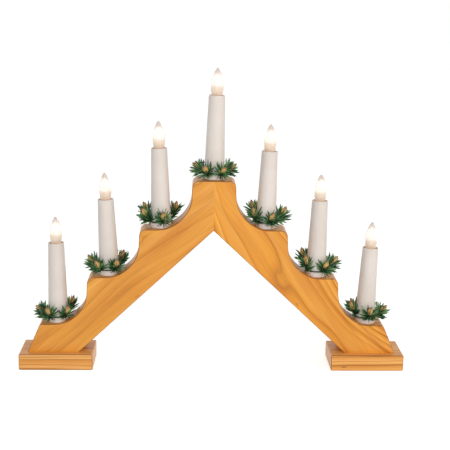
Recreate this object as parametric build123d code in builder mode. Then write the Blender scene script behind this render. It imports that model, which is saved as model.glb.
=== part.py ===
"""Candle arch: two stepped wooden arms on two feet, carrying seven electric candles."""
import math
import os

from build123d import *

# Arms: two boards, mitred at the top and stepped down to each side
board_thickness = 30.0
arm_end_height = 30.0
step_rise = 50.6
step_run = 53.6
steps_each_side = 3
nose_reach = 21.8
nose_radius = 6.5
riser_lean = 2.0
scoop_radius = 36.0
scoop_limit_share = 0.92
throat = 51.2
end_reach = 17.7
end_lean = 13.0
end_radius = 4.0
base_length = 52.8
edge_easing = 1.0

# Feet
foot_depth = 46.0
foot_height = 17.0
foot_inner_margin = 14.7
foot_outer_margin = 8.5
foot_easing = 1.2

# Collars: a flange on the shelf, a stem in the wood and a spigot in the sleeve
collar_radius = 11.2
collar_draft = 0.2
collar_height = 5.5
collar_rounding = 0.6
collar_wall = 1.5
collar_web = 2.0
stem_radius = 8.6
stem_length = 9.0
spigot_height = 9.0

# Sleeves, tapered like a candle
sleeve_length = 76.0
sleeve_foot_radius = 10.4
sleeve_rim_radius = 8.1
sleeve_foot_wall = 1.5
sleeve_rim_wall = 1.15
rim_rounding = 0.4

# Lamps: a pointed glass on a small screw cap
lamp_length = 44.0
lamp_show = 27.2
glass_wall = 0.6
glass_neck_radius = 4.6
glass_waist_radius = 5.75
glass_belly_radius = 6.5
glass_tip_radius = 0.5
glass_shoulder_height = 3.0
glass_waist_height = 2.0
glass_belly_height = 9.0
cap_radius = 4.75
cap_length = 10.0
cap_lip_radius = 4.2
insulator_radius = 2.6
insulator_height = 1.1
button_radius = 1.8
button_height = 0.6
mount_radius = 1.9
mount_top_radius = 1.0
mount_height = 8.5
filament_radius = 0.25
filament_span = 5.0
filament_rise = 13.0
filament_bend = 1.6

# Lamp holders: a cup on a hollow stalk, with a brass shell and a contact
holder_radius = 6.7
holder_floor = 2.0
holder_drop = 6.4
shell_wall = 0.5
shell_lift = 1.2
contact_radius = 2.2
contact_height = 0.7
stalk_radius = 4.5
stalk_bore_radius = 3.0
stalk_reach = 6.0
stalk_flange_radius = 6.7
stalk_flange_height = 1.5

# Wreaths: a wire ring with sprigs of needles, each round a bud
wreath_wire_radius = 0.6
sprig_count = 5
sprig_rise = 55
sprig_turn = 12
twig_radius = 1.2
twig_length = 4.2
needle_root_pitch = 1.1
needle_root_sink = 0.8
needle_length = 12.5
needle_radius = 0.45
needle_tip_radius = 0.18
bud_length = 8.0
bud_base_radius = 1.0
bud_radius = 1.9
bud_belly_share = 0.42
bud_tip_radius = 0.35
inboard_lift = 14
# Rows of needles up a sprig: elevation, length share, and turns from the sprig's direction
needle_row_shares = (
    (12, 0.78, (-50, -17, 17, 50)),
    (36, 0.90, (-65, -35, 35, 65)),
    (62, 1.00, (-75, -35, 35, 75)),
)

# Each candle as set by hand, from left to right: lean, change in length, and turn of its wreath
candle_leans = (-0.5, -2.2, -1.6, 1.2, 1.7, 1.2, 1.8)
candle_trims = (2.2, -2.7, 0, 3.1, -2.1, -2.1, -1.1)
wreath_turns = (6, 2, -12, 6, -4, 4, -12)

# Wiring in a covered groove under the arms and in the base of each arm
wire_radius = 0.8
wire_bend = 2.4
lane_offset = 1.2
lane_pitch = 2.2
lane_margin = 1.1
groove_width = 9.0
rebate_width = 14.0
cover_thickness = 2.0
cover_recess = 0.2
cover_side_gap = 0.1
wire_bore_radius = 3.5
cord_outlet_height = 9.0
supply_end_height = 14.0

# Fastenings
dowel_radius = 3.0
dowel_length = 30.0
dowel_spacing = 17.0
dowel_drop = 27.0
dowel_end_gap = 0.3
screw_radius = 2.0
screw_head_radius = 4.2
screw_head_height = 2.2
screw_point = 3.0
screw_length = 33.0
screw_recess = 1.0
screw_inner_margin = 9.0
screw_outer_margin = 15.5
screw_spread = 18.0
cover_pin_radius = 0.6
cover_pin_head_radius = 1.1
cover_pin_head_height = 0.5
cover_pin_length = 11.0
cover_pin_spread = 11.2
cover_pin_place_shares = (0.08, 0.36, 0.64, 0.92)

# Clearances
fit_clearance = 0.05
screw_clearance = 0.2
stem_clearance = 0.6
spot_clearance = 0.4
sleeve_clearance = 0.1
thread_clearance = 0.08
wreath_clearance = 0.3
joint_gap = 0.1
overrun = 5.0

# Levels and places worked out from the sizes above
low_shelf_height = foot_height + arm_end_height
top_shelf_height = low_shelf_height + steps_each_side * step_rise
outer_candle_x = steps_each_side * step_run
end_x = outer_candle_x + end_reach
toe_x = end_x + end_lean
heel_x = toe_x - base_length
apex_height = top_shelf_height - throat
slope = math.atan2(apex_height - foot_height, heel_x)
foot_inner_x = heel_x - foot_inner_margin
foot_outer_x = toe_x + foot_outer_margin
foot_centre_x = (foot_inner_x + foot_outer_x) / 2
rebate_depth = cover_thickness + cover_recess
low_lane = rebate_depth + lane_margin
high_lane = low_lane + lane_pitch
groove_depth = high_lane + lane_margin
base_groove_depth = groove_depth - rebate_depth + lane_margin
seat_bore_radius = stem_radius + stem_clearance
seat_bore_depth = stem_length + stem_clearance
spot_radius = collar_radius + spot_clearance
rim_height = collar_height + sleeve_length
lamp_tip = rim_height + lamp_show
lamp_base = lamp_tip - lamp_length
cap_top = lamp_base + cap_length
holder_floor_top = lamp_base - fit_clearance - contact_height
holder_base = holder_floor_top - holder_floor
shell_bore_radius = cap_radius + thread_clearance
shell_radius = shell_bore_radius + shell_wall
wreath_radius = sleeve_foot_radius + wreath_clearance + wreath_wire_radius
wreath_height = collar_height + wreath_clearance + wreath_wire_radius
candle_numbers = range(-steps_each_side, steps_each_side + 1)


def shelf_height(number):
    """Height of the shelf under a candle, counted from the middle one."""
    return top_shelf_height - step_rise * abs(number)


def height_in_arm(x, depth):
    """Height of a line that runs at this depth inside the sloping underside."""
    return apex_height - abs(x) * math.tan(slope) + depth / math.cos(slope)


def reach_in_arm(height, depth):
    """Distance from the middle at which that line comes down to a height."""
    return (apex_height + depth / math.cos(slope) - height) / math.tan(slope)


def candle_lean(number):
    return candle_leans[number + steps_each_side]


def candle_trim(number):
    return candle_trims[number + steps_each_side]


def candle_frame(number):
    """Where a candle stands: its leaning collar just clears the level seat."""
    lift = collar_radius * math.sin(math.radians(abs(candle_lean(number)))) + fit_clearance
    place = (step_run * number, 0, shelf_height(number) + lift)
    return Location(place, (0, candle_lean(number), 0))


def direction(azimuth, elevation):
    """A unit vector from a compass angle and an angle above level."""
    flat = math.cos(math.radians(elevation))
    return Vector(
        flat * math.cos(math.radians(azimuth)),
        flat * math.sin(math.radians(azimuth)),
        math.sin(math.radians(elevation)),
    )


def sleeve_inner_radius(height):
    """Radius of the sleeve's bore at a height above its foot."""
    foot = sleeve_foot_radius - sleeve_foot_wall
    rim = sleeve_rim_radius - sleeve_rim_wall
    return foot + (rim - foot) * height / sleeve_length


def band(first_x, end_height, low_depth, high_depth):
    """Corners of a strip along the underside, cut level at its lower end."""
    return (
        (first_x, height_in_arm(0, low_depth) - first_x * math.tan(slope)),
        (reach_in_arm(end_height, low_depth), end_height),
        (reach_in_arm(end_height, high_depth), end_height),
        (first_x, height_in_arm(0, high_depth) - first_x * math.tan(slope)),
    )


def cover_pin_places():
    """Places of the pins along a cover, on alternate sides of its groove."""
    reach = reach_in_arm(foot_height + cord_outlet_height, rebate_depth)
    places = []
    for order, share in enumerate(cover_pin_place_shares):
        x = reach * share
        side = cover_pin_spread / 2 if order % 2 else -cover_pin_spread / 2
        places.append(Vector(x, side, height_in_arm(x, cover_recess)))
    return places


def save(piece, name):
    piece.label = name
    export_step(piece, f"parts/{name}.step")


os.makedirs("parts", exist_ok=True)
up_into_wood = Vector(math.sin(slope), 0, math.cos(slope))
right_cover_end = foot_height + cover_side_gap
left_cover_end = foot_height + cord_outlet_height
dowel_height = top_shelf_height - dowel_drop
dowel_places = ((-dowel_spacing / 2, dowel_height), (dowel_spacing / 2, dowel_height))
screw_top = screw_recess + screw_length
stand = (Align.CENTER, Align.CENTER, Align.MIN)
hang = (Align.CENTER, Align.CENTER, Align.MAX)
screw_places = (
    (heel_x + screw_inner_margin, screw_spread / 2),
    (heel_x + screw_inner_margin, -screw_spread / 2),
    (toe_x - screw_outer_margin, 0),
)

# Right arm: stepped outline with rounded noses and deep scoops
half_corner = math.atan2(step_rise, -riser_lean) / 2
scoop_room = min(step_rise, step_run - riser_lean) - nose_radius
scoop = min(scoop_radius, scoop_room * scoop_limit_share * math.tan(half_corner))
outline_points = [(0, apex_height), (0, top_shelf_height)]
outline_radii = [0, 0]
for step in range(steps_each_side):
    nose_x = step_run * step + nose_reach
    outline_points.append((nose_x, shelf_height(step)))
    outline_points.append((nose_x + riser_lean, shelf_height(step + 1)))
    outline_radii += [nose_radius, scoop]
outline_points += [(end_x, low_shelf_height), (toe_x, foot_height), (heel_x, foot_height)]
outline_radii += [end_radius, 0, 0]

with BuildPart() as right_arm:
    with BuildSketch(Plane.XZ):
        with BuildLine():
            FilletPolyline(*outline_points, radius=outline_radii, close=True)
        make_face()
    extrude(amount=board_thickness / 2, both=True)
    flank_edges = right_arm.faces().filter_by(Axis.Y).edges()
    upper_edges = flank_edges.filter_by(lambda edge: edge.center().Z > foot_height + fit_clearance)
    fillet(upper_edges.filter_by(lambda edge: edge.center().X > fit_clearance), radius=edge_easing)
    # Level seats: a spot-face for the collar, a bore for its stem and a bore for the wires
    for step in range(steps_each_side + 1):
        seat = shelf_height(step)
        wire_floor = max(foot_height, height_in_arm(step_run * step, low_lane))
        with Locations((step_run * step, 0, seat)):
            Cylinder(spot_radius, scoop_radius, align=stand, mode=Mode.SUBTRACT)
            Cylinder(seat_bore_radius, seat_bore_depth, align=hang, mode=Mode.SUBTRACT)
            Cylinder(wire_bore_radius, seat - wire_floor, align=hang, mode=Mode.SUBTRACT)
    # Groove for the wires, the wider rebate for its cover, and the groove in the base
    for width, depth in ((groove_width, groove_depth), (rebate_width, rebate_depth)):
        with BuildSketch(Plane.XZ):
            with BuildLine():
                Polyline(*band(-overrun, foot_height - overrun, -overrun, depth), close=True)
            make_face()
        extrude(amount=width / 2, both=True, mode=Mode.SUBTRACT)
    with Locations((outer_candle_x + wire_bore_radius, 0, foot_height)):
        Box(
            outer_candle_x + wire_bore_radius - heel_x + overrun,
            groove_width,
            base_groove_depth,
            align=(Align.MAX, Align.CENTER, Align.MIN),
            mode=Mode.SUBTRACT,
        )
    # Holes for the dowels, the foot screws and the cover pins
    with BuildSketch(Plane.YZ):
        with Locations(*dowel_places):
            Circle(dowel_radius + fit_clearance)
    extrude(amount=dowel_length / 2 + dowel_end_gap, mode=Mode.SUBTRACT)
    with BuildSketch(Plane.XY.offset(foot_height)):
        with Locations(*screw_places):
            Circle(screw_radius + fit_clearance)
    extrude(amount=screw_top + fit_clearance - foot_height, mode=Mode.SUBTRACT)
    for place in cover_pin_places():
        with BuildSketch(Plane(origin=place, z_dir=up_into_wood)):
            Circle(cover_pin_radius + fit_clearance)
        extrude(amount=cover_pin_length + fit_clearance, mode=Mode.SUBTRACT)
save(right_arm.part, "right_arm")

# Left arm: the same board turned round
with BuildPart() as left_arm:
    mirror(right_arm.part, about=Plane.YZ)
save(left_arm.part, "left_arm")

# Feet: blocks with softened edges and countersunk screw holes from below
with BuildPart() as right_foot:
    with Locations((foot_centre_x, 0, 0)):
        Box(foot_outer_x - foot_inner_x, foot_depth, foot_height, align=stand)
    fillet(right_foot.edges(), radius=foot_easing)
    with Locations(*[(x, y, 0) for x, y in screw_places]):
        Cylinder(screw_head_radius + screw_clearance, screw_recess, align=stand, mode=Mode.SUBTRACT)
        Cylinder(screw_radius + screw_clearance, foot_height, align=stand, mode=Mode.SUBTRACT)
    with Locations(*[(x, y, screw_recess) for x, y in screw_places]):
        Cone(
            screw_head_radius + screw_clearance,
            screw_radius + screw_clearance,
            screw_head_height,
            align=stand,
            mode=Mode.SUBTRACT,
        )
save(right_foot.part, "right_foot")

with BuildPart() as left_foot:
    mirror(right_foot.part, about=Plane.YZ)
save(left_foot.part, "left_foot")

# Mitre dowels: two level pegs across the glued joint
with BuildPart() as mitre_dowels:
    with BuildSketch(Plane.YZ):
        with Locations(*dowel_places):
            Circle(dowel_radius)
    extrude(amount=dowel_length / 2, both=True)
save(mitre_dowels.part, "mitre_dowels")

# Foot screws: countersunk, up through each foot into its arm
with BuildPart(mode=Mode.PRIVATE) as foot_screw:
    with BuildSketch(Plane.XZ):
        with BuildLine():
            Polyline(
                (0, screw_recess),
                (screw_head_radius, screw_recess),
                (screw_radius, screw_recess + screw_head_height),
                (screw_radius, screw_top - screw_point),
                (0, screw_top),
                close=True,
            )
        make_face()
    revolve(axis=Axis.Z)
with BuildPart() as foot_screws:
    with Locations(*screw_places, *[(-x, y) for x, y in screw_places]):
        add(foot_screw.part)
save(foot_screws.part, "foot_screws")


def groove_cover(end_height):
    """A strip let into the rebate, mitred at the top and holed for its pins."""
    with BuildPart() as cover:
        with BuildSketch(Plane.XZ):
            with BuildLine():
                Polyline(*band(joint_gap, end_height, cover_recess, rebate_depth), close=True)
            make_face()
        extrude(amount=rebate_width / 2 - cover_side_gap, both=True)
        for place in cover_pin_places():
            with BuildSketch(Plane(origin=place, z_dir=up_into_wood)):
                Circle(cover_pin_radius + fit_clearance)
            extrude(amount=rebate_depth, mode=Mode.SUBTRACT)
            with BuildSketch(Plane(origin=place, z_dir=up_into_wood)):
                Circle(cover_pin_head_radius + fit_clearance)
            extrude(amount=cover_pin_head_height, mode=Mode.SUBTRACT)
    return cover.part


# Groove covers: the left one stops short of its foot and leaves the cord's way out
save(groove_cover(right_cover_end), "right_groove_cover")
with BuildPart() as left_groove_cover:
    mirror(groove_cover(left_cover_end), about=Plane.YZ)
save(left_groove_cover.part, "left_groove_cover")

# Cover pins, driven square to the underside
with BuildPart() as cover_pins:
    for place in cover_pin_places():
        with BuildSketch(Plane(origin=place, z_dir=up_into_wood)):
            Circle(cover_pin_radius)
        extrude(amount=cover_pin_length)
        with BuildSketch(Plane(origin=place, z_dir=up_into_wood)):
            Circle(cover_pin_head_radius)
        extrude(amount=cover_pin_head_height)
    mirror(about=Plane.YZ)
save(cover_pins.part, "cover_pins")


def wire(route_points, lane_side):
    """One insulated wire along straight runs with tangent bends, level with its lane."""
    with BuildPart() as tube:
        with BuildLine(Plane.XZ.offset(-lane_offset * lane_side)) as route:
            FilletPolyline(*route_points, radius=wire_bend)
        with BuildSketch(Plane(origin=route.line @ 0, z_dir=route.line % 0)):
            Circle(wire_radius)
        sweep()
    return tube.part


def wire_top(number):
    """Where a wire ends, just under a lamp holder's floor."""
    height = holder_base + candle_trim(number) - fit_clearance
    top = candle_frame(number) * Pos(0, 0, height)
    return (top.position.X, top.position.Z)


def lane_run(number, depth):
    """Corners of a lane from the arm's slope to the foot of a candle's bore."""
    side = -1 if number < 0 else 1
    if abs(number) < steps_each_side:
        return [(step_run * number, height_in_arm(step_run * number, depth))]
    height = foot_height + depth - rebate_depth
    return [(side * reach_in_arm(height, depth), height), (side * outer_candle_x, height)]


# Series wiring: a wire from each lamp to the next, one back from the last, one from the first
links = []
for order, number in enumerate(candle_numbers[:-1]):
    inner_first = lane_run(number, high_lane)[::-1]
    second = lane_run(number + 1, high_lane)
    points = [wire_top(number), *inner_first, *second, wire_top(number + 1)]
    links.append(wire(points, 1 if order % 2 else -1))
supply_end_x = -reach_in_arm(foot_height + supply_end_height, low_lane)
supply_end = (supply_end_x, foot_height + supply_end_height)
feed_points = [supply_end, *lane_run(-steps_each_side, low_lane), wire_top(-steps_each_side)]
apex_corner = (0, height_in_arm(0, low_lane))
last_run = lane_run(steps_each_side, low_lane)
return_points = [supply_end, apex_corner, *last_run, wire_top(steps_each_side)]
with BuildPart() as series_wiring:
    add([*links, wire(feed_points, 1), wire(return_points, -1)])
save(series_wiring.part, "series_wiring")

# Collar: flange, hollow stem with a web for the stalk, and hollow spigot
spigot_top = collar_height + spigot_height
spigot_radius = sleeve_inner_radius(spigot_height) - sleeve_clearance
with BuildPart() as collar:
    with BuildSketch(Plane.XZ):
        with BuildLine():
            Polyline(
                (stalk_radius + fit_clearance, 0),
                (stem_radius - collar_wall, 0),
                (stem_radius - collar_wall, -stem_length),
                (stem_radius, -stem_length),
                (stem_radius, 0),
                (collar_radius, 0),
                (collar_radius - collar_draft, collar_height),
                (spigot_radius, collar_height),
                (spigot_radius, spigot_top),
                (spigot_radius - collar_wall, spigot_top),
                (spigot_radius - collar_wall, collar_web),
                (stalk_radius + fit_clearance, collar_web),
                close=True,
            )
        make_face()
    revolve(axis=Axis.Z)
    flange_rim = collar.edges().filter_by(GeomType.CIRCLE).sort_by(SortBy.RADIUS)[-2:]
    fillet(flange_rim, radius=collar_rounding)


# Sleeve: a tapered tube with a softened rim, open for the lamp
def candle_sleeve(number):
    rim = rim_height + candle_trim(number)
    with BuildPart() as sleeve:
        with BuildSketch(Plane.XZ):
            with BuildLine():
                Polyline(
                    (sleeve_foot_radius - sleeve_foot_wall, collar_height),
                    (sleeve_foot_radius, collar_height),
                    (sleeve_rim_radius, rim),
                    (sleeve_rim_radius - sleeve_rim_wall, rim),
                    close=True,
                )
            make_face()
        revolve(axis=Axis.Z)
        fillet(sleeve.faces().sort_by(Axis.Z)[-1].edges(), radius=rim_rounding)
    return sleeve.part


# Lamp holder: a cup on a stalk that stands on the collar's web
def lamp_holder(number):
    base = holder_base + candle_trim(number)
    floor_top = base + holder_floor
    lip = rim_height + candle_trim(number) - holder_drop
    with BuildPart() as holder:
        with BuildSketch(Plane.XZ):
            with BuildLine():
                Polyline(
                    (stalk_bore_radius, -stalk_reach),
                    (stalk_radius, -stalk_reach),
                    (stalk_radius, collar_web),
                    (stalk_flange_radius, collar_web),
                    (stalk_flange_radius, collar_web + stalk_flange_height),
                    (stalk_radius, collar_web + stalk_flange_height),
                    (stalk_radius, base),
                    (holder_radius, base),
                    (holder_radius, lip),
                    (shell_radius, lip),
                    (shell_radius, floor_top),
                    (0, floor_top),
                    (0, base),
                    (stalk_bore_radius, base),
                    close=True,
                )
            make_face()
        revolve(axis=Axis.Z)
    return holder.part


# Brass shell and contact, down in the holder's cup
with BuildPart() as brass_shell:
    with BuildSketch(Plane.XY.offset(holder_floor_top + shell_lift)):
        Circle(shell_radius)
        Circle(shell_bore_radius, mode=Mode.SUBTRACT)
    extrude(amount=rim_height - holder_drop - holder_floor_top - shell_lift)
with BuildPart() as contact:
    with BuildSketch(Plane.XY.offset(holder_floor_top)):
        Circle(contact_radius)
    extrude(amount=contact_height)


def glass_outline(inset):
    """The lamp's outline from its neck to its pointed tip, drawn in by a wall."""
    neck = (glass_neck_radius - inset, cap_top)
    shoulder = (glass_waist_radius - inset, cap_top + glass_shoulder_height)
    waist = (glass_waist_radius - inset, rim_height + glass_waist_height)
    belly = (glass_belly_radius - inset, rim_height + glass_belly_height)
    tip = (glass_tip_radius, lamp_tip - inset)
    with BuildSketch(Plane.XZ) as outline:
        with BuildLine():
            Polyline((0, cap_top), neck, shoulder, waist)
            TangentArc(belly, waist, tangent=(0, -1))
            TangentArc(belly, tip, tangent=(0, 1))
            Polyline(tip, (0, lamp_tip - inset), (0, cap_top))
        make_face()
    return outline.sketch


# Lamp glass: a hollow flame shape, open at its neck
with BuildPart() as bulb_glass:
    revolve(glass_outline(0), axis=Axis.Z)
    revolve(glass_outline(glass_wall), axis=Axis.Z, mode=Mode.SUBTRACT)

# Lamp cap, with the insulator and contact button under it
with BuildPart() as bulb_cap:
    with BuildSketch(Plane.XZ):
        with BuildLine():
            Polyline(
                (0, lamp_base),
                (button_radius, lamp_base),
                (button_radius, lamp_base + button_height),
                (insulator_radius, lamp_base + button_height),
                (cap_lip_radius, lamp_base + button_height + insulator_height),
                (cap_radius, lamp_base + button_height + insulator_height),
                (cap_radius, cap_top),
                (0, cap_top),
                close=True,
            )
        make_face()
    revolve(axis=Axis.Z)

# Glass mount with its filament, standing on the cap inside the glass
mount_top = cap_top + mount_height
with BuildPart() as filament_mount:
    with Locations((0, 0, cap_top)):
        Cone(mount_radius, mount_top_radius, mount_height, align=stand)
    with BuildLine(Plane.XZ) as filament_route:
        FilletPolyline(
            (0, mount_top - filament_bend),
            (-filament_span / 2, mount_top + filament_bend),
            (-filament_span / 2, mount_top + filament_rise),
            (filament_span / 2, mount_top + filament_rise),
            (filament_span / 2, mount_top + filament_bend),
            (0, mount_top - filament_bend),
            radius=filament_bend / 2,
        )
    with BuildSketch(Plane(origin=filament_route.line @ 0, z_dir=filament_route.line % 0)):
        Circle(filament_radius)
    sweep()

# Wreath ring: one round of wire that drops over the sleeve onto the collar
with BuildPart() as wreath_ring:
    with BuildSketch(Plane.XZ):
        with Locations((wreath_radius, wreath_height)):
            Circle(wreath_wire_radius)
    revolve(axis=Axis.Z)


# Sprig, bound to the ring at the origin and pointing along +X: needles fanned round a bud
sprig_axis = direction(0, sprig_rise)
twig_start = sprig_axis * (wreath_wire_radius + fit_clearance)
bud_sections = (
    (twig_length, bud_base_radius),
    (twig_length + bud_length * bud_belly_share, bud_radius),
    (twig_length + bud_length, bud_tip_radius),
)
needles = []
for row, (elevation, length_share, turns) in enumerate(needle_row_shares):
    with BuildPart(mode=Mode.PRIVATE) as needle:
        with BuildSketch():
            RegularPolygon(radius=needle_radius, side_count=3)
        with BuildSketch(Plane.XY.offset(needle_length * length_share)):
            RegularPolygon(radius=needle_tip_radius, side_count=3)
        loft(ruled=True)
    for turn in turns:
        way = direction(turn, elevation)
        root = twig_start + sprig_axis * needle_root_pitch * (row + 1) + way * needle_root_sink
        needles.append(needle.part.moved(Plane(origin=root, z_dir=way).location))
with BuildPart() as sprig:
    with BuildSketch(Plane(origin=twig_start, z_dir=sprig_axis)):
        RegularPolygon(radius=twig_radius, side_count=6)
    extrude(amount=twig_length)
    for height, radius in bud_sections:
        with BuildSketch(Plane(origin=twig_start + sprig_axis * height, z_dir=sprig_axis)):
            RegularPolygon(radius=radius, side_count=6)
    loft(ruled=True)
    add(needles)


def wreath_sprigs(number):
    """A candle's sprigs, spread round its ring and tipped up clear of the step beside them."""
    sprigs = []
    for count in range(sprig_count):
        azimuth = sprig_turn + wreath_turns[number + steps_each_side] + 360 * count / sprig_count
        facing = -math.copysign(1, number) * math.cos(math.radians(azimuth)) if number else 0
        tip = inboard_lift * max(0, facing)
        on_ring = Location(direction(azimuth, 0) * wreath_radius + Vector(0, 0, wreath_height))
        sprigs.append(sprig.part.moved(on_ring * Rot(0, 0, azimuth) * Rot(0, -tip, 0)))
    return Compound(children=sprigs)


# The pieces of each candle, placed from left to right
for order, number in enumerate(candle_numbers):
    frame = candle_frame(number)
    raised = Pos(0, 0, candle_trim(number))
    name_end = f"_{order + 1}"
    save(collar.part.moved(frame), "collar" + name_end)
    save(candle_sleeve(number).moved(frame), "sleeve" + name_end)
    socket_metal = [brass_shell.part.moved(raised), contact.part.moved(raised)]
    socket = Compound(children=[lamp_holder(number), *socket_metal])
    save(socket.moved(frame), "socket" + name_end)
    save(bulb_glass.part.moved(frame * raised), "bulb_glass" + name_end)
    lamp_metal = Compound(children=[bulb_cap.part, filament_mount.part])
    save(lamp_metal.moved(frame * raised), "bulb_cap" + name_end)
    save(wreath_ring.part.moved(frame), "wreath_ring" + name_end)
    save(wreath_sprigs(number).moved(frame), "wreath_sprigs" + name_end)
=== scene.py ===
"""Candle arch as photographed: lacquered pine arms, lit electric candles and small fir wreaths."""
import math

import bpy
from mathutils import Euler, Matrix, Vector


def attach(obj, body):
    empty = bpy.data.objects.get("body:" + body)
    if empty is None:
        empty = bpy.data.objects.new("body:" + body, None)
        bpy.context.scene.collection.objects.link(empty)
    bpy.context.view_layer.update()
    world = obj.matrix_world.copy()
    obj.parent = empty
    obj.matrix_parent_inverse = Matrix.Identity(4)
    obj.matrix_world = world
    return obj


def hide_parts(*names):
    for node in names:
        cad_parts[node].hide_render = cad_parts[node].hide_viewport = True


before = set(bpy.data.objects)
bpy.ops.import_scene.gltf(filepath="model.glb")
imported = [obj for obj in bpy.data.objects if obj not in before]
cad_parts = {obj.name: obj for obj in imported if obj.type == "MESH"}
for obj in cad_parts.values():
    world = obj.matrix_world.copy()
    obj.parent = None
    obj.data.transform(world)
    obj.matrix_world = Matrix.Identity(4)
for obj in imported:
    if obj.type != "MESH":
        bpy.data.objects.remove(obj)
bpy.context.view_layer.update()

MM = 0.001

# Candles as they stand in the CAD model; leans in degrees and trims in mm, from left to right
STEP_RUN = 53.6 * MM
TOP_SHELF = 198.8 * MM
STEP_RISE = 50.6 * MM
COLLAR_RADIUS = 11.2 * MM
CANDLE_GAP = 0.05 * MM
CANDLE_LEANS = (-0.5, -2.2, -1.6, 1.2, 1.7, 1.2, 1.8)
CANDLE_TRIMS = (2.2, -2.7, 0, 3.1, -2.1, -2.1, -1.1)
RIM_HEIGHT = 81.5 * MM
LAMP_SHOW = 27.2 * MM

# Boards: half of their depth, where the shaded line along their rounded edges starts and is
# full, and the slope of the groove covers in degrees
ARM_HALF_DEPTH = 15 * MM
FOOT_HALF_DEPTH = 23 * MM
EDGE_SHADE_START = 1.3 * MM
EDGE_SHADE_FULL = 0.9 * MM
COVER_SLOPE = 43.3

# Wood: the size of its wandering, its fading rings, its bands, its fibres and its resin flecks
WANDER_SIZE = 38 * MM
FADE_SIZE = 22 * MM
BAND_SIZE = 12 * MM
FIBRE_SIZE = 1.4 * MM
FLECK_SPACING = 15 * MM
# Other materials: the size of what marks them
STRIP_FIBRE_SIZE = 1.5 * MM
METAL_CLOUD_SIZE = 1.8 * MM
PLASTIC_DRIFT_SIZE = 30 * MM
PLASTIC_PEEL_SIZE = 0.8 * MM
WIRE_WINDING_SIZE = 0.9 * MM
BUD_SCALE_SIZE = 1.3 * MM
BARK_SIZE = 0.7 * MM

# Wreaths: sprigs bound to a wire ring, each a twig with needles fanned round a bud
RING_RADIUS = 11.3 * MM
RING_HEIGHT = 6.4 * MM
TWIG_RADIUS = 1.1 * MM
BUD_LENGTH = 11.0 * MM
BUD_RADIUS = 3.0 * MM
NEEDLE_LENGTH = 13.6 * MM
NEEDLE_WIDTH = 1.5 * MM
NEEDLE_BOW = 1.6 * MM
NEEDLES_PER_SPRIG = 96
FIRST_SEED = 11
# Needles turn by the golden angle and lean off their twig, less towards the bud, with some scatter
GOLDEN_ANGLE = math.radians(137.5)
ROOT_TILT = math.radians(98)
TIP_TILT = math.radians(32)
SCATTER = 0.28
# Shares of the full length: the least by chance, and at the root, from where it grows to full
LEAST_LENGTH = 0.68
ROOT_LENGTH = 0.6
FULL_FROM = 0.6
# Where needles end: at this depth, above the shelf and clear of solids, with no stubs left
TRIM_DEPTH = 21.8 * MM
SHELF_GAP = 0.4 * MM
CLEARANCE = 1.0 * MM
STUB_LENGTH = 4.0 * MM
# A needle that lies level or rises counts as falling by this share of its length
LEAST_FALL = -0.01
# How each sprig was bent by hand: its turn and rise in degrees, and its twig's length in mm
SPRIG_BENDS = (
    ((35, 66, 8.0), (95, 60, 5.0), (175, 35, 4.6), (235, 60, 3.4), (314, 62, 4.2)),
    ((28, 69, 7.0), (86, 60, 5.0), (165, 48, 6.5), (227, 57, 3.4), (305, 60, 4.0)),
    ((21, 71, 9.0), (72, 60, 5.0), (151, 61, 9.5), (199, 59, 6.5), (281, 57, 4.6)),
    ((15, 34, 3.8), (90, 56, 4.0), (165, 34, 3.8), (236, 42, 2.8), (301, 42, 2.8)),
    ((11, 57, 7.5), (80, 60, 5.0), (143, 67, 10.5), (211, 69, 6.5), (289, 60, 4.6)),
    ((10, 48, 7.0), (88, 60, 5.0), (142, 68, 10.5), (216, 73, 7.0), (302, 62, 4.6)),
    ((-1, 47, 5.5), (72, 60, 5.0), (144, 66, 6.0), (194, 68, 7.0), (279, 67, 5.0)),
)


def linear(colour):
    """An sRGB hex colour as the linear values that shaders use."""
    values = [int(colour[at : at + 2], 16) / 255 for at in (1, 3, 5)]
    return (*[v / 12.92 if v <= 0.04045 else ((v + 0.055) / 1.055) ** 2.4 for v in values], 1.0)


def node(tree, kind, inputs=None, stops=None, **settings):
    """Adds a node with its settings, and sets each input to a value or links it to a socket."""
    made = tree.nodes.new(kind)
    for name, value in settings.items():
        setattr(made, name, value)
    for name, value in (inputs or {}).items():
        if isinstance(value, bpy.types.NodeSocket):
            tree.links.new(value, made.inputs[name])
        else:
            made.inputs[name].default_value = value
    if stops:
        ramp = made.color_ramp
        while len(ramp.elements) < len(stops):
            ramp.elements.new(1.0)
        for element, (place, colour) in zip(ramp.elements, stops):
            element.position = place
            element.color = linear(colour) if isinstance(colour, str) else (colour,) * 3 + (1.0,)
    return made


def new_material(name):
    """An empty material with its output node, ready for a shader."""
    material = bpy.data.materials.new(name)
    material.use_nodes = True
    material.node_tree.nodes.clear()
    return material, material.node_tree, node(material.node_tree, "ShaderNodeOutputMaterial")


def give(material, *names):
    """Puts a finish on CAD nodes."""
    for name in names:
        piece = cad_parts[name]
        if not piece.material_slots:
            piece.data.materials.append(material)
        for held in piece.material_slots:
            held.material = material


def candle_place(order):
    """Where a candle stands and how it leans, counted from the left."""
    number = order - len(CANDLE_LEANS) // 2
    lean = math.radians(CANDLE_LEANS[order])
    seat = TOP_SHELF - STEP_RISE * abs(number)
    lift = COLLAR_RADIUS * math.sin(abs(lean)) + CANDLE_GAP
    return Matrix.Translation((STEP_RUN * number, 0, seat + lift)) @ Matrix.Rotation(lean, 4, "Y")
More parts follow.
